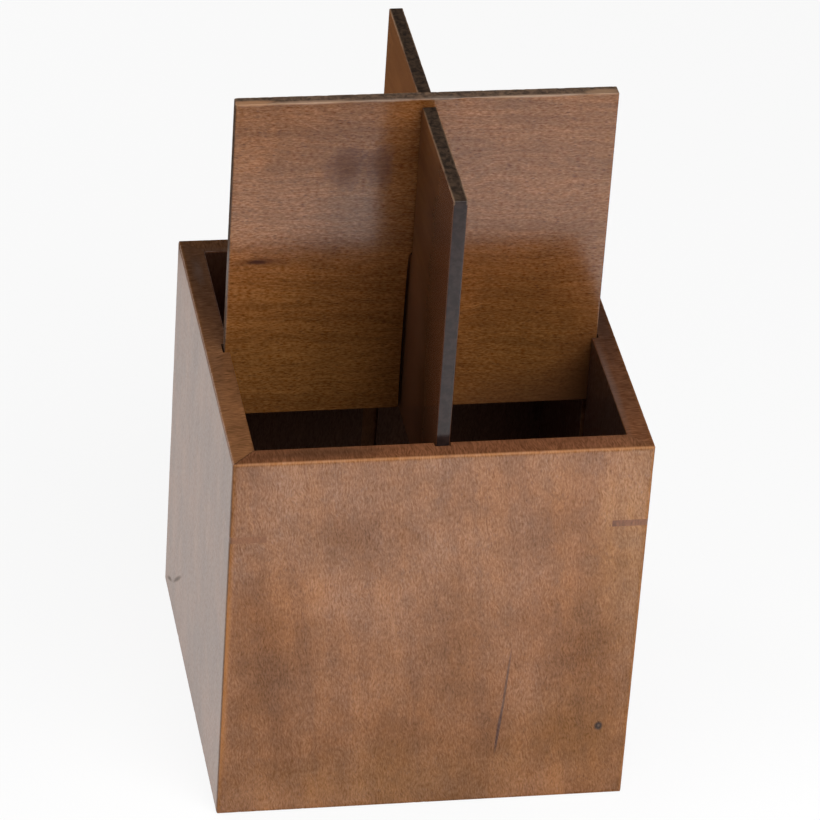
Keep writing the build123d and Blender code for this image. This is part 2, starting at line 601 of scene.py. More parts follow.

# Patches on the front: X, Z, half width, half height, strength. Most are stain; the light strips along the
# foot are painted light for the floor's bright reflection there
frontClouds = [
    (44, 49, 16, 28, -0.28), (-45, 46, 20, 30, -0.22), (45, 24, 18, 16, -0.22), (-6, 25, 12, 19, -0.22),
    (5, 58, 17, 34, -0.15), (-26, 96, 12, 11, -0.13), (32, 92, 24, 12, -0.08), (-27, 77, 20, 15, 0.24),
    (-22, 22, 12, 28, 0.16), (29, 79, 9, 20, 0.18), (28, 39, 11, 20, 0.12), (52, 108, 20, 18, 0.22),
    # the light strips at Z 2 and Z 3 are painted light along the foot
    (-34, 2, 34, 15, 0.44), (42, 3, 28, 12, 0.20), (46, 82, 22, 30, 0.08), (8, 38, 11, 15, -0.16),
    (19, 22, 10, 16, -0.14), (-46, 110, 16, 20, 0.08), (9, 114, 10, 12, 0.14),
]

# Where the stain is yellower
frontGold = [(56, 85, 18, 62, 1.0), (-10, 6, 62, 24, 0.7), (44, 22, 28, 28, 0.6)]

# Dull patches in the front's lacquer, laid out as the patches of stain are
frontDulls = [
    (46, 80, 26, 60, 0.26), (46, 20, 26, 28, 0.28), (-45, 68, 22, 28, 0.28), (24, 108, 32, 22, 0.16),
]

# Two scores low on the left wall, both dark and dull: Y, Z, half length, tilt
leftScores = [(49.4, 6.9, 7.5, 29.0), (34.2, 17.4, 14.0, 39.0)]


def scoreSpots(strength, colour=None):
    return [spot((-60, y, z), (3, half, 1.0), strength, colour, tilt=tilt, ragged=0.4, softness=0.8)
            for y, z, half, tilt in leftScores]


wallDulls = {
    "front_panel": [
        spot((x, -60, z), (wide, 6, tall), strength, ragged=0.5, softness=0.9)
        for x, z, wide, tall, strength in frontDulls
    ],
    "left_panel": scoreSpots(0.5),
}

wallMarks = {
    "front_panel": [
        spot((22.6, -60, 40.0), (0.52, 3, 18.0), 0.85, (0.085, 0.034, 0.02), turn=-3.2, ragged=0.4),
        spot((21.5, -60, 25.5), (0.62, 3, 11.0), 0.85, (0.05, 0.02, 0.018), turn=-4.0, ragged=0.4),
        spot((51.2, -60, 24.9), (1.6, 3, 2.0), 1.0, (0.026, 0.014, 0.011)),
        spot((51.3, -60, 25.0), (0.6, 3, 0.7), 0.55, (0.12, 0.074, 0.05)),
        spot((-59.7, -59.7, 52), (1.9, 1.9, 66), 0.65, (0.42, 0.17, 0.05), ragged=0.5, softness=0.8),
        spot((-34, -56, 122), (30, 4.5, 2), 0.6, (0.05, 0.024, 0.012), ragged=0.8, softness=0.9),
    ],
    "right_panel": [
        # painted light: a greyish lightening on the inner face of the right wall
        spot((53, -25, 114), (3, 44, 32), 0.6, (0.13, 0.095, 0.085), ragged=0.2, softness=0.95),
        # painted shade: the right rim darker near the side-to-side board
        spot((57, 6, 122), (6, 36, 2), 0.75, (0.045, 0.017, 0.008), ragged=0.6, softness=0.9),
    ],
    "back_panel": [
        # painted light on the upper part of the back wall's inner face
        spot((0, 53, 120), (90, 3, 24), 0.9, (0.2, 0.115, 0.075), ragged=0.2, softness=0.95),
        spot((0, 53.1, 122), (70, 0.7, 0.6), 0.5, (0.26, 0.14, 0.08), ragged=0.5),
    ],
    "left_panel": [
        *scoreSpots(0.9, (0.085, 0.045, 0.018)),
        # painted shade: the left rim darker behind the side-to-side board
        spot((-56.5, 50, 122), (6, 44, 2), 0.65, (0.08, 0.032, 0.012), ragged=0.5, softness=0.9),
        # painted reflection: a grey sheen on the left rim towards the back
        spot((-56.3, 42, 122), (2.4, 10, 2), 0.35, (0.17, 0.12, 0.1), ragged=1.0, softness=0.9),
    ],
}


def wallSection(values):
    # closed loop of (depth from the outer face, height) round one wall
    rim, mouth, steps = values["rimRound"], values["mouthRound"], values["arcSteps"]
    thick, top, fine = wallThickness, boxHeight, values["fineStep"]
    grooveBack = thick - values["floorGrooveDepth"]
    grooveTop = baseHigh.z + values["floorFit"]
    loop = [(0.0, z) for z in gradedSteps(rim, top - rim, fine, values["rowStep"])]
    loop += arcPoints((rim, top - rim), rim, 180, 90, steps)[1:]
    loop += [(d, top) for d in gradedSteps(rim, thick - mouth, fine, values["columnStep"])][1:]
    loop += arcPoints((thick - mouth, top - mouth), mouth, 90, 0, values["mouthSteps"])[1:]
    loop += [(thick, z) for z in gradedSteps(top - mouth, grooveTop, fine, values["rowStep"])][1:]
    loop += [(grooveBack, grooveTop), (grooveBack, baseLow.z), (thick, baseLow.z), (thick, 0.0)]
    loop += [(d, 0.0) for d in gradedSteps(thick, rim, fine, values["footStep"])][1:]
    loop += arcPoints((rim, rim), rim, 270, 180, steps)[1:-1]
    return loop


def roundCorner(along, depth, run, radius):
    # pulls the upright corner in to its round
    overAlong = abs(along) - (run / 2 - radius)
    overDepth = radius - depth
    reach = math.hypot(overAlong, overDepth)
    if overAlong <= 0 or overDepth <= 0 or reach <= radius:
        return along, depth
    pull = radius / reach
    return math.copysign(run / 2 - radius + overAlong * pull, along), radius - overDepth * pull


def wallArris(along, depth, height, run, values):
    # 1 on an outer arris, falling to 0 a short way from it
    rimAway = min(math.hypot(depth, boxHeight - height), math.hypot(depth, height))
    cornerAway = math.hypot(run / 2 - abs(along), depth)
    return max(0.0, 1.0 - min(rimAway, cornerAway) / values["arrisReach"])


def wallInner(along, depth, height, values):
    # 1 on the faces inside the box and in the divider's groove
    if height > boxHeight - values["mouthRound"]:
        return 0.0
    slack = values["innerSlack"]
    inGroove = abs(along) < values["grooveWidth"] / 2 + slack and depth > wallThickness / 2
    return 1.0 if inGroove or depth > wallThickness - slack else 0.0


def buildWall(name, layout, values, finish):
    turn = math.radians(layout["turn"])
    sideways = layout["turn"] % 180 != 0
    run, across = (boxDepth, boxWidth) if sideways else (boxWidth, boxDepth)
    outside = -across / 2
    inside = outside + wallThickness
    spin = Matrix.Rotation(turn, 4, "Z")
    section = wallSection(values)
    columns = gradedSteps(-run / 2, run / 2, values["fineStep"], values["columnStep"])
    points = []
    for x in columns:
        for depth, height in section:
            along, deep = roundCorner(x * (1 - 2 * depth / run), depth, run, values["cornerRound"])
            points.append(spin @ Vector((along, outside + deep, height)))
    wall = meshObject(name + "_wood", points, loftFaces(len(columns), len(section)))
    cleanMesh(wall, values["weld"])
    half, back = values["grooveWidth"] / 2, inside - values["grooveDepth"]
    past = values["cutPast"]
    groove = [(-half, back), (half, back), (half, inside + past), (-half, inside + past)]
    cutters = [prism("grooveCut", groove, baseHigh.z, boxHeight + past, turn)]
    reach = values["keyReach"]
    for end in layout["keyEnds"]:
        tip = end * run / 2
        wedge = [(tip + end * past, outside - past), (tip - end * (reach + past), outside - past),
                 (tip + end * past, outside + reach + past)]
        cutters.append(prism("keyCut", wedge, keyLow.z, keyHigh.z, turn))
    cutAway(wall, cutters)
    unspin = spin.inverted()
    arris, inner, joint = [], [], []
    for vertex in wall.data.vertices:
        local = unspin @ vertex.co
        depth = local.y - outside
        arris.append(wallArris(local.x, depth, local.z, run, values))
        inner.append(wallInner(local.x, depth, local.z, values))
        toMitre = run / 2 - depth - abs(local.x)
        joint.append(max(0.0, 1.0 - toMitre / values["jointReach"]))
    setAttribute(wall, "arris", arris)
    setAttribute(wall, "inner", inner)
    setAttribute(wall, "joint", joint)
    nickArrises(wall, {**wallNicks, "Seed": layout["seed"]}, finish)
    smoothFinish(wall, values["sharpDeg"])
    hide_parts(name)
    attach(wall, "box")
    return wall


def beechMaterial(panel, layout, finish):
    material, tree, shader, inMm = newMaterial(layout["finish"])
    facing = turnVector(tree, inMm, (0, 0, -layout["turn"]))  # X now runs along this wall
    shift = tuple(layout["seed"] * step for step in finish["seedShift"])
    grain = turnVector(tree, facing, (0, layout["slant"], 0), shift)
    figure = placeGroup(tree, figureTree, {"Vector": grain})
    clouds = placeGroup(tree, cloudTree, {"Vector": grain})
    arris, inner, joint = attributeValues(tree, "arris", "inner", "joint")
    upward = rangeNode(tree, normalAxes(tree)["Z"], *finish["upward"])
    stain, stainDark = (tuple(part * layout["stain"] for part in finish[name])
                        for name in ("stain", "stainDark"))
    colour = mixColour(tree, product(tree, figure["Bands"], layout["figure"]), stain, stainDark)
    colour = mixColour(tree, upward, colour, layout["endGrain"])
    if panel == "front_panel":
        patches = cloudShade(tree, inMm, frontClouds, finish["frontFace"], finish["frontTone"])
        mottle = product(tree, spreadNode(tree, clouds["Clouds"], *finish["frontMottle"]), patches)
    else:
        mottle = spreadNode(tree, clouds["Clouds"], *finish["mottle"])
    dapple = spreadNode(tree, clouds["Dapple"], *finish["dapple"])
    strong = spreadNode(tree, upward, layout["figure"], finish["endFigure"])
    centred = product(tree, strong, spreadNode(tree, figure["Flecks"], *finish["fleckSpan"]))
    flecks = aboutOne(tree, centred, finish["fleckStain"])
    colour = shadeColour(tree, colour, product(tree, mottle, dapple, flecks))
    if panel == "front_panel":
        golden = cloudShade(tree, inMm, frontGold, finish["frontFace"], 0.0)
        colour = mixColour(tree, golden, colour, finish["gold"], "MULTIPLY")
    colour = mixColour(tree, product(tree, figure["Pores"], finish["poreShow"]), colour, finish["pore"])
    # inner faces take the inside colour: partly darker wood, partly painted shade
    inside = tuple(part * layout["inside"] for part in finish["inside"])
    colour = mixColour(tree, product(tree, inner, finish["insideShow"]), colour, inside)
    colour = paintMarks(tree, colour, inMm, wallMarks[panel])
    colour = rubArrises(tree, colour, inMm, arris, finish, layout["wear"])
    span = finish["seamSpan"]
    openness = rangeNode(tree, axesOf(tree, facing)["X"], -span, span, *layout["seam"])
    colour = mixColour(tree, product(tree, joint, upward, openness), colour, finish["joint"])
    low, high = finish["roughness"]
    rough = spreadNode(tree, figure["Flecks"], high, low)
    rough = mathNode(tree, "ADD", rough, product(tree, upward, finish["endRoughness"]))
    rough = mathNode(tree, "ADD", rough, product(tree, arris, finish["arrisRoughness"]))
    lacquer = spreadNode(tree, upward, layout["lacquer"], finish["endLacquer"])
    sheen = aboutOne(tree, centred, finish["fleckGloss"])
    rubbedOff = mathNode(tree, "SUBTRACT", sheen, product(tree, arris, finish["arrisDull"]))
    gloss = mathNode(tree, "MULTIPLY", lacquer, rubbedOff, clamp=True)
    if panel == "left_panel":
        gloss = product(tree, gloss, spreadNode(tree, figure["Bands"], *finish["bandGloss"]))
    if panel == "front_panel":
        hazePlace = vectorNode(tree, "DIVIDE", inMm, finish["hazeSize"])
        haze = noiseNode(tree, hazePlace, detail=3.0, roughness=0.55)
        gloss = product(tree, gloss, mottle, rangeNode(tree, haze, *noiseSpan, *finish["haze"]))
    gloss = dullGloss(tree, gloss, inMm, wallDulls.get(panel, []))
    finishShader(tree, shader, finish, colour, rough, gloss, figureHeight(tree, figure), finish["bump"])
    return material


for name, layout in wallLayout.items():
    buildWall(name, layout, wallValues, beechMaterial(name, layout, wallFinish))
    print("wall built:", name)


# Divider boards: thin plywood, slotted into each other, with dark sawn edges

boardValues = {
    "slotWidth": 5.0 * mm,
    "cornerRound": 0.4 * mm,
    "mouthRound": 1.0 * mm,
    "arrisRound": 0.3 * mm,
    "ringInset": 0.8 * mm,
    "edgeStep": 0.6 * mm,
    "arcSteps": 4,
    "crownSteps": 16,
    "arrisSteps": 3,
    "edgeRows": 10,
    "crownReach": 1.5 * mm,
    "plainArris": 0.25,
    "sharpDeg": 50,
}

boardNicks = {"Depth": 0.08 * mm, "Spacing": 1.7 * mm, "Bareness": 0.50}

boardFinish = {
    "veneer": (0.230, 0.0855, 0.0235),
    "veneerDark": (0.184, 0.0668, 0.018),
    "pore": (0.060, 0.020, 0.008),
    "edgeBark": (0.034, 0.023, 0.017),
    "edgeWood": (0.105, 0.066, 0.043),
    "worn": (0.480, 0.290, 0.165),
    "gold": (1.0, 1.08, 1.0),
    "grainTurn": 88.0,  # from upright to all but level
    "seedShift": (13.0, 0.0, 29.0),
    "figure": {"Fleck Size": (0.43, 2.0, 1.30), "Band Size": (5.0, 12.0, 60.0), "Sway": 1.6},
    "upward": (0.5, 0.9),  # slopes that count as the top edge
    "mottle": (1.08, 0.90),
    "face": -2.0,
    "fleckSpan": (-0.48, 0.52),
    "fleckStain": (0.80, 1.20, 1.90),
    "fleckGloss": 0.85,
    "lineDepth": 0.06,
    "poreShow": 0.6,
    "gritScale": 0.6,
    "gritSpan": (0.30, 0.72),
    "edgeGrit": (0.7, 1.3),
    "rubbed": {"Patch Size": 14.0, "Reach": 0.8, "Bareness": 0.40},
    "roughness": (0.14, 0.20),
    "topRoughness": 0.45,
    "topDull": 0.95,
    "edgeLacquer": 0.268,
    "specular": 0.0,
    "coatRoughness": 0.17,
    "coatIor": 1.7,
    "bump": 0.25,
}

boardLayout = {
    "side_to_side_divider": {
        "finish": "sideToSidePlywood", "body": "side_to_side_board", "turn": 0, "flip": 1, "seed": 5.0,
        "slotDepth": 53.4 * mm, "lacquer": 0.52, "figure": 1.0, "wear": 0.5,
        "edge": (0.095, 0.058, 0.040), "crown": 2.1,
    },
    "front_to_back_divider": {
        "finish": "frontToBackPlywood", "body": "front_to_back_board", "turn": 90, "flip": -1, "seed": 19.0,
        "slotDepth": 49.8 * mm, "lacquer": 0.42, "figure": 0.18, "wear": 0.35,
        "edge": (0.0218, 0.0128, 0.0117), "crown": 0.75,
    },
}

boardMarks = {
    "side_to_side_divider": [
        spot((-22.2, -2, 182.0), (8.0, 6, 9.5), 0.58, (0.095, 0.042, 0.03), turn=-25.0, ragged=0.9,
            softness=0.65),
        spot((-12.4, -2, 182.0), (5.2, 6, 9.5), 0.58, (0.095, 0.042, 0.03), ragged=0.9, softness=0.65),
        spot((-17.2, -2, 185.4), (1.6, 6, 1.1), 0.4, (0.07, 0.024, 0.014), ragged=0.8),
        spot((-32.8, -2, 195.6), (6.5, 3, 0.3), 0.16, (0.38, 0.18, 0.08), turn=-31.0, ragged=0.4),
        spot((-23.6, -2, 191.5), (4.5, 3, 0.25), 0.14, (0.38, 0.18, 0.08), turn=-14.0, ragged=0.4),
        spot((-45.0, -2, 151.9), (11.0, 6, 2.0), 0.75, (0.08, 0.022, 0.008), ragged=0.7, softness=0.95),
        spot((-46.4, -2, 151.7), (3.8, 6, 0.9), 0.7, (0.03, 0.008, 0.006), ragged=0.6),
        # painted shadow: a dark line beside the slot, in the gap by the front-to-back board
        spot((-2.65, -2, 124.0), (0.5, 3, 30.0), 0.95, (0.006, 0.003, 0.003), ragged=0.1, softness=0.15),
        # painted shade: the board darker at its lower right, by the right wall and low in the box
        spot((56, -2, 104), (22, 6, 34), 0.85, (0.07, 0.026, 0.01), ragged=0.3, softness=0.95),
        spot((38, -2, 98), (44, 6, 18), 0.6, (0.08, 0.034, 0.016), ragged=0.3, softness=0.95),
    ],
    "front_to_back_divider": [
        # all four are painted light and shade: darker towards the front edge and upper front, lighter low
        # down near the middle
        spot((-2, -44, 155), (9, 56, 95), 0.5, (0.088, 0.046, 0.032), ragged=0.2, softness=0.7),
        spot((-2, -56, 150), (9, 40, 200), 0.75, (0.065, 0.0207, 0.0098), ragged=0.1, softness=0.75),
        spot((-2, -4, 125), (9, 28, 50), 0.5, (0.33, 0.145, 0.07), ragged=0.2, softness=0.95),
        spot((-2, -14, 108), (9, 28, 58), 0.65, (0.33, 0.165, 0.1), ragged=0.3, softness=0.95),
    ],
}

# Patches on the upper board, added to its tone: X, Z, half width, half height, strength. Partly stain,
# partly painted light and shade, such as the darker patch low on the right by the right wall
boardClouds = {
    "side_to_side_divider": [
        (-50, 146, 34, 64, 0.42), (14, 135, 9, 26, 0.32), (44, 150, 22, 45, -0.08),
        (12, 198, 12, 10, 0.20), (-26, 116, 28, 28, 0.17), (47, 139, 11, 20, 0.08),
        (-9, 166, 28, 20, -0.12), (36, 104, 22, 20, -0.26), (-48, 151, 28, 18, -0.10),
        (-17, 201, 28, 20, -0.08),
    ],
}

# Where the stain is yellower
boardGold = {"side_to_side_divider": [(-32, 112, 60, 46, 1.0), (32, 118, 36, 34, 0.8)]}

# Bare wood along the front arris of the upper board's top edge
crownMarks = {
    "side_to_side_divider": [
        spot((-50, -1.2, 203.4), (9, 1.6, 1.2), 0.85, (0.5, 0.26, 0.135), ragged=0.6),
        spot((-33, -1.6, 203.4), (16, 1.0, 1.0), 0.7, (0.46, 0.29, 0.19), ragged=0.9),
        spot((-12, -1.7, 203.4), (14, 0.8, 0.9), 0.55, (0.32, 0.22, 0.16), ragged=0.9),
        spot((4, -1.5, 203.4), (7, 1.2, 0.9), 0.6, (0.24, 0.18, 0.14), ragged=1.0),
        spot((30, -1.8, 203.4), (26, 0.7, 0.8), 0.6, (0.42, 0.28, 0.19), ragged=0.9),
        spot((50, -0.8, 203.4), (7, 1.8, 1.0), 0.7, (0.45, 0.27, 0.16), ragged=0.7),
    ],
}

# Dull patches in the lacquer
boardDulls = {
    "side_to_side_divider": [
        spot((-22.2, -2, 182.0), (8.0, 6, 9.5), 0.55, turn=-25.0, ragged=0.9, softness=0.8),
        spot((-12.4, -2, 182.0), (5.2, 6, 9.5), 0.55, ragged=0.9, softness=0.8),
        spot((-4, -2, 175), (12, 6, 45), 0.74, ragged=0.3, softness=0.8),
        spot((-46, -2, 206), (64, 6, 44), 0.42, ragged=0.3, softness=0.95),
    ],
}


def boardOutline(run, height, slotDepth, values):
    # anticlockwise round the board, slot open at the bottom
    right, top = run / 2, height / 2
    corner, mouth = values["cornerRound"], values["mouthRound"]
    half = values["slotWidth"] / 2
    crown = -top + slotDepth - half  # centre of the slot's round end
    steps = values["arcSteps"]
    loop = arcPoints((-right + corner, -top + corner), corner, 180, 270, steps)
    loop += arcPoints((-half - mouth, -top + mouth), mouth, 270, 360, steps)
    loop += arcPoints((0, crown), half, 180, 0, values["crownSteps"])
    loop += arcPoints((half + mouth, -top + mouth), mouth, 180, 270, steps)
    loop += arcPoints((right - corner, -top + corner), corner, 270, 360, steps)
    loop += arcPoints((right - corner, top - corner), corner, 0, 90, steps)
    loop += arcPoints((-right + corner, top - corner), corner, 90, 180, steps)
    outline = []
    for (ax, ay), (bx, by) in zip(loop, loop[1:] + loop[:1]):
        count = max(1, round(math.hypot(bx - ax, by - ay) / values["edgeStep"]))
        outline += [(ax + (bx - ax) * i / count, ay + (by - ay) * i / count) for i in range(count)]
    return outline


def outlineNormals(outline):
    # unit vectors pointing into the board
    normals = []
    count = len(outline)
    for i in range(count):
        (ax, ay), (bx, by) = outline[i - 1], outline[(i + 1) % count]
        length = math.hypot(bx - ax, by - ay)
        normals.append((-(by - ay) / length, (bx - ax) / length))
    return normals


def boardRings(thick, values):
    # (inset from the outline, place across the thickness, arris value, edge value)
    soft, ring, rows = values["arrisRound"], values["ringInset"], values["edgeRows"]
    half = thick / 2
    side = [(ring, half), (0.5 * (ring + soft), half)]
    side += [(soft - x, half - soft + y) for x, y in arcPoints((0, 0), soft, 90, 0, values["arrisSteps"])]
    middle = [(0.0, (half - soft) * (1 - 2 * i / rows)) for i in range(1, rows)]
    section = side + middle + [(i, -w) for i, w in reversed(side)]
    rings = []
    for inset, across in section:
        away = math.hypot(inset, half - abs(across))
        edge = min(1.0, max(0.0, (half - abs(across)) / soft))
        rings.append((inset, across, max(0.0, 1.0 - away / ring), edge))
    return rings


def buildBoard(name, layout, values, finish):
    low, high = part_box(name)
    size = high - low
    middle = (low + high) / 2
    sideways = layout["turn"] % 180 != 0
    run, thick = (size.y, size.x) if sideways else (size.x, size.y)
    outline = boardOutline(run, size.z, layout["slotDepth"], values)
    normals = outlineNormals(outline)
    rings = boardRings(thick, values)
    spin = Matrix.Rotation(math.radians(layout["turn"]), 4, "Z")
    points, arris, edge = [], [], []
    for inset, across, arrisValue, edgeValue in rings:
        for (u, v), (nu, nv) in zip(outline, normals):
            right, top = run / 2 - inset, size.z / 2 - inset
            along = min(max(u + nu * inset, -right), right)
            rise = min(max(v + nv * inset, -top), top)
            point = middle + spin @ Vector((along, across, layout["flip"] * rise))
            points.append(point)
            inSlot = abs(along) < values["slotWidth"] and rise < values["slotWidth"]
            onCrown = point.z > high.z - values["crownReach"]
            worn = 1.0 if onCrown else 0.0 if inSlot else values["plainArris"]
            arris.append(arrisValue * worn)
            edge.append(edgeValue)
    board = meshObject(name + "_plywood", points, loftFaces(len(rings), len(outline)))
    setAttribute(board, "arris", arris)
    setAttribute(board, "edge", edge)
    cleanMesh(board, fineWeld)
    nickArrises(board, {**boardNicks, "Seed": layout["seed"]}, finish)
    smoothFinish(board, values["sharpDeg"])
    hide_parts(name)
    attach(board, layout["body"])
    return board


def plywoodMaterial(board, layout, finish):
    material, tree, shader, inMm = newMaterial(layout["finish"])
    facing = turnVector(tree, inMm, (0, 0, -layout["turn"]))  # X now runs along this board
    shift = tuple(layout["seed"] * step for step in finish["seedShift"])
    level = turnVector(tree, facing, (0, finish["grainTurn"], 0), shift)
    figure = placeGroup(tree, figureTree, {**finish["figure"], "Vector": level})
    clouds = placeGroup(tree, cloudTree, {"Vector": level})
    arris, edge = attributeValues(tree, "arris", "edge")
    upward = rangeNode(tree, normalAxes(tree)["Z"], *finish["upward"])
    strong = layout["figure"]
    centred = spreadNode(tree, figure["Flecks"], *(end * strong for end in finish["fleckSpan"]))
    flecks = [aboutOne(tree, centred, gain) for gain in finish["fleckStain"]]
    speckle = newNode(tree, "ShaderNodeCombineColor", dict(enumerate(flecks))).outputs[0]
    deep = finish["lineDepth"] * strong
    lines = spreadNode(tree, figure["Lines"], 1 - deep, 1 + deep)
    mottle = spreadNode(tree, clouds["Clouds"], *finish["mottle"])
    if board in boardClouds:
        mottle = product(tree, mottle, cloudShade(tree, inMm, boardClouds[board], finish["face"], 1.0))
    colour = mixColour(tree, figure["Bands"], finish["veneer"], finish["veneerDark"])
    colour = shadeColour(tree, colour, product(tree, lines, mottle))
    colour = mixColour(tree, 1.0, colour, speckle, "MULTIPLY")
    if board in boardGold:
        golden = cloudShade(tree, inMm, boardGold[board], finish["face"], 0.0)
        colour = mixColour(tree, golden, colour, finish["gold"], "MULTIPLY")
    poreShow = finish["poreShow"] * strong
    colour = mixColour(tree, product(tree, figure["Pores"], poreShow), colour, finish["pore"])
    colour = paintMarks(tree, colour, inMm, boardMarks[board])
    grit = noiseNode(tree, inMm, detail=4.0, roughness=0.60, distortion=0.5, scale=finish["gritScale"])
    grit = rangeNode(tree, grit, *finish["gritSpan"])
    sawn = mixColour(tree, grit, finish["edgeBark"], finish["edgeWood"])
    sawn = mixColour(tree, 1.0, sawn, (layout["crown"],) * 3, "MULTIPLY")
    upright = shadeColour(tree, layout["edge"], rangeNode(tree, grit, 0.0, 1.0, *finish["edgeGrit"]))
    colour = mixColour(tree, edge, colour, mixColour(tree, upward, upright, sawn))
    colour = rubArrises(tree, colour, inMm, arris, finish, layout["wear"])
    colour = paintMarks(tree, colour, inMm, crownMarks.get(board, []))
    onTop = product(tree, edge, upward)
    low, high = finish["roughness"]
    rough = spreadNode(tree, figure["Flecks"], high, low)
    rough = mathNode(tree, "ADD", rough, product(tree, onTop, finish["topRoughness"]))
    gloss = spreadNode(tree, edge, layout["lacquer"], finish["edgeLacquer"])
    gloss = product(tree, gloss, aboutOne(tree, onTop, -finish["topDull"]))
    gloss = product(tree, gloss, aboutOne(tree, centred, finish["fleckGloss"]))
    gloss = dullGloss(tree, gloss, inMm, boardDulls.get(board, []))
    bump = finish["bump"] * strong
    finishShader(tree, shader, finish, colour, rough, gloss, figureHeight(tree, figure), bump)
    return material


for name, layout in boardLayout.items():
    buildBoard(name, layout, boardValues, plywoodMaterial(name, layout, boardFinish))
    print("board built:", name)


# Floor panel and corner keys keep their own solids, and get wood of their own

innerFinish = {
    "grainShift": (7.0, 3.0, 11.0),
    "cloudShow": 0.4,
    "poreShow": 0.6,
    "fleckStain": (0.80, 1.20),
    "sideways": (0.5, 0.9),  # slopes that count as the outer side
    "roughness": (0.38, 0.55),
    "specular": 0.25,
    "coatRoughness": 0.30,
    "coatIor": 1.7,
    "bump": 0.25,
}

# Lacquer is only on the outer side
innerLayout = {
    "base_panel": {
        "finish": "floorPlywood", "turn": (90, 0, 0), "lacquer": 0.0,
        "light": (0.200, 0.110, 0.070), "dark": (0.120, 0.064, 0.040),
    },
    "front_right_key": {
        "finish": "rightKeyWood", "turn": (0, 0, 45), "lacquer": 0.35,
        "light": (0.198, 0.0865, 0.046), "dark": (0.134, 0.0555, 0.0306),
    },
    "front_left_key": {
        "finish": "leftKeyWood", "turn": (0, 0, -45), "lacquer": 0.51,
        "light": (0.241, 0.104, 0.048), "dark": (0.170, 0.068, 0.031),
    },
}


def plainWoodMaterial(layout, finish):
    material, tree, shader, inMm = newMaterial(layout["finish"])
    grain = turnVector(tree, inMm, layout["turn"], finish["grainShift"])
    figure = placeGroup(tree, figureTree, {"Vector": grain})
    clouds = placeGroup(tree, cloudTree, {"Vector": grain})
    colour = mixColour(tree, figure["Bands"], layout["light"], layout["dark"])
    colour = mixColour(tree, product(tree, clouds["Clouds"], finish["cloudShow"]), colour, layout["dark"])
    colour = mixColour(tree, product(tree, figure["Pores"], finish["poreShow"]), colour, layout["dark"])
    colour = shadeColour(tree, colour, spreadNode(tree, figure["Flecks"], *finish["fleckStain"]))
    low, high = finish["roughness"]
    rough = rangeNode(tree, figure["Flecks"], 0.0, 1.0, high, low)
    lacquer = layout["lacquer"]
    if lacquer:
        sideways = mathNode(tree, "ABSOLUTE", normalAxes(tree)["X"])
        lacquer = product(tree, rangeNode(tree, sideways, *finish["sideways"]), lacquer)
    finishShader(tree, shader, finish, colour, rough, lacquer, figure["Flecks"], finish["bump"])
    return material


for name, layout in innerLayout.items():
    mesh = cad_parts[name].data
    mesh.materials.clear()
    mesh.materials.append(plainWoodMaterial(layout, innerFinish))
print("floor and keys dressed")


# Studio: pale floor, soft front light, camera at the photograph's angle

studio = {
    "floorSize": 8.0,
    "floorDrop": 0.0001,
    "floorColour": (0.88, 0.88, 0.88),
    "floorRoughness": 0.9,
    "floorSpecular": 0.1,
    "cameraGlow": 0.90,
    "mirrorGlow": 0.42,
    "sideGlow": 0.46,
    "darkGlow": 0.05,
    "paperEnd": (0.245, 0.256),  # behind this the floor is dark in reflections
    "besideBox": (-0.045, -0.064),  # to the left of this the floor keeps its glow
    "frontShade": (0.20, 0.60),  # reach of the box's own shade in front, and what it leaves
    "frontFade": (-0.26, -0.42, 0.40),  # from here to there the floor dims to this share
    "ambient": 0.10,
    "lights": {
        "frontBox": {
            "place": (0.28, -0.69, 0.84), "aim": (0, 0, 0.1), "size": 0.8, "spread": 180, "watts": 8.6},
        "paperBox": {
            "place": (0.10, -0.34, 0.50), "aim": (0.10, -0.34, 0), "size": 0.4, "spread": 50, "watts": 1.6},
        "sideBox": {
            "place": (-0.90, 0.75, 0.35), "aim": (0, 0, 0.15), "size": 0.5, "spread": 180, "watts": 8.0},
    },
}

# Camera from a fit of the box's corners, with lengths as shares of the box's width
cameraValues = {
    "place": (-2.0812, -10.1288, 7.5413),
    "yaw": 0.2036,
    "pitch": 0.5765,
    "roll": 0.0702,
    "focalPixels": 5083.0,
    "imagePixels": 820.0,
    "sensor": 36.0,
    "clipStart": 0.05,
}


def mirrorRays(tree, rays):
    return mathNode(tree, "ADD", rays["Is Glossy Ray"], rays["Is Transmission Ray"])


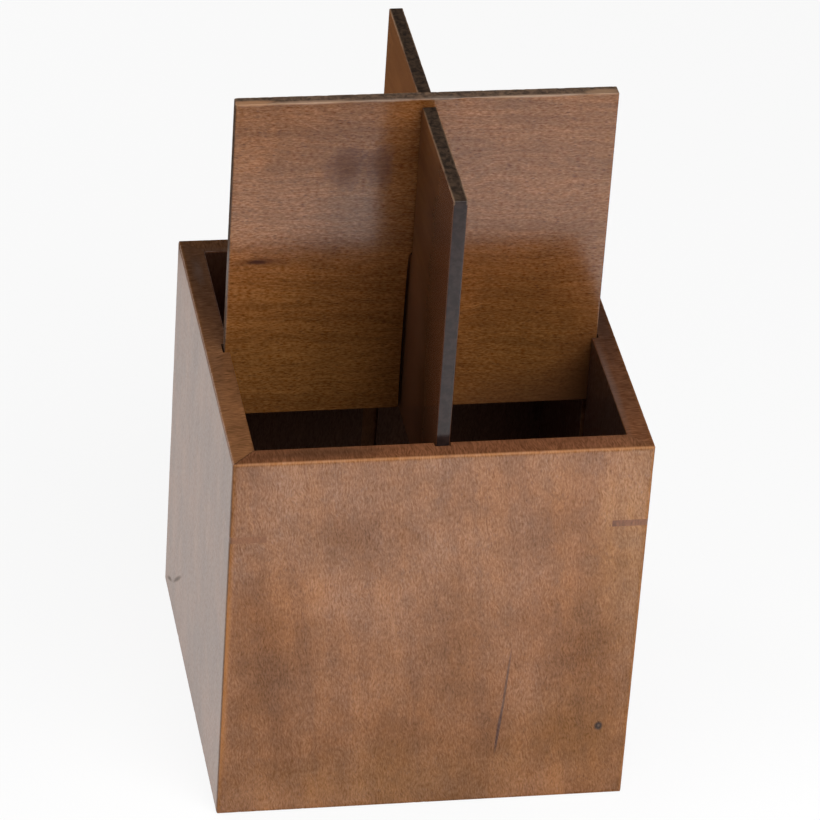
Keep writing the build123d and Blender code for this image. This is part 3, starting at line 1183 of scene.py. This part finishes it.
def buildFloor(values):
    half = values["floorSize"] / 2
    corners = [(-half, -half, 0), (half, -half, 0), (half, half, 0), (-half, half, 0)]
    floor = meshObject("studioFloor", corners, [(0, 1, 2, 3)])
    floor.location.z = -values["floorDrop"]
    material = bpy.data.materials.new("studioPaper")
    material.use_nodes = True
    tree = material.node_tree
    shader = tree.nodes["Principled BSDF"]
    shader.inputs["Roughness"].default_value = values["floorRoughness"]
    shader.inputs["Specular IOR Level"].default_value = values["floorSpecular"]
    place = tree.nodes.new("ShaderNodeTexCoord").outputs["Object"]
    axes = axesOf(tree, place)
    beyond = rangeNode(tree, axes["Y"], *values["paperEnd"])
    beside = rangeNode(tree, axes["X"], *values["besideBox"])
    reach, left = values["frontShade"]
    fromFoot = vectorNode(tree, "DISTANCE", place, (0.0, -boxDepth / 2, 0.0))
    near, far, share = values["frontFade"]
    shade = product(tree, rangeNode(tree, fromFoot, 0.0, reach, left, 1.0),
                    rangeNode(tree, axes["Y"], near, far, 1.0, share))
    shade = mathNode(tree, "MAXIMUM", shade, beside)
    colour = mixColour(tree, shade, (0.0, 0.0, 0.0), values["floorColour"])
    feed(tree, shader.inputs["Base Color"], colour)
    mirror = mathNode(tree, "ADD", product(tree, shade, values["mirrorGlow"]),
                      product(tree, beside, values["sideGlow"]))
    rays = tree.nodes.new("ShaderNodeLightPath").outputs
    mirrored = mirrorRays(tree, rays)
    seen = mathNode(tree, "ADD", product(tree, rays["Is Camera Ray"], values["cameraGlow"]),
                    product(tree, mirrored, mirror))
    glow = newNode(tree, "ShaderNodeEmission", {"Strength": 1.0})
    dark = newNode(tree, "ShaderNodeEmission", {"Strength": values["darkGlow"]})
    paper = newNode(tree, "ShaderNodeMixShader", {0: seen, 1: shader.outputs[0], 2: glow.outputs[0]})
    blend = newNode(tree, "ShaderNodeMixShader", {
        0: product(tree, mirrored, beyond), 1: paper.outputs[0], 2: dark.outputs[0]})
    feed(tree, tree.nodes["Material Output"].inputs["Surface"], blend.outputs[0])
    floor.data.materials.append(material)


def buildLights(values):
    for name, spec in values["lights"].items():
        lamp = bpy.data.lights.new(name, "AREA")
        lamp.shape = "SQUARE"
        lamp.size = spec["size"]
        lamp.energy = spec["watts"]
        lamp.spread = math.radians(spec["spread"])
        holder = bpy.data.objects.new(name, lamp)
        holder.location = spec["place"]
        holder.rotation_euler = (Vector(spec["aim"]) - holder.location).to_track_quat("-Z", "Y").to_euler()
        bpy.context.scene.collection.objects.link(holder)


def buildWorld(values):
    # plain white to the camera and in reflections, dim as a light
    world = bpy.data.worlds.new("studioWorld")
    world.use_nodes = True
    bpy.context.scene.world = world
    tree = world.node_tree
    soft = tree.nodes["Background"]
    soft.inputs["Strength"].default_value = values["ambient"]
    soft.inputs["Color"].default_value = (1, 1, 1, 1)
    white = newNode(tree, "ShaderNodeBackground", {"Color": (1, 1, 1, 1), "Strength": 1.0})
    rays = tree.nodes.new("ShaderNodeLightPath").outputs
    seen = mathNode(tree, "ADD", rays["Is Camera Ray"], mirrorRays(tree, rays), clamp=True)
    blend = newNode(tree, "ShaderNodeMixShader", {0: seen, 1: soft.outputs[0], 2: white.outputs[0]})
    feed(tree, tree.nodes["World Output"].inputs["Surface"], blend.outputs[0])


def buildCamera(values):
    yaw, pitch, roll = values["yaw"], values["pitch"], values["roll"]
    ahead = Vector((math.sin(yaw) * math.cos(pitch), math.cos(yaw) * math.cos(pitch), -math.sin(pitch)))
    right = Vector((math.cos(yaw), -math.sin(yaw), 0))
    up = right.cross(ahead)
    rolledRight = right * math.cos(roll) + up * math.sin(roll)
    rolledUp = up * math.cos(roll) - right * math.sin(roll)
    lens = bpy.data.cameras.new("photoCamera")
    lens.sensor_width = values["sensor"]
    lens.lens = values["focalPixels"] / values["imagePixels"] * values["sensor"]
    lens.clip_start = values["clipStart"]
    camera = bpy.data.objects.new("photoCamera", lens)
    place = Matrix.Translation(Vector(values["place"]) * boxWidth)
    camera.matrix_world = place @ Matrix((rolledRight, rolledUp, -ahead)).transposed().to_4x4()
    bpy.context.scene.collection.objects.link(camera)
    bpy.context.scene.camera = camera


buildFloor(studio)
buildLights(studio)
buildWorld(studio)
buildCamera(cameraValues)
bpy.context.scene.view_settings.view_transform = "Standard"
print("studio set")
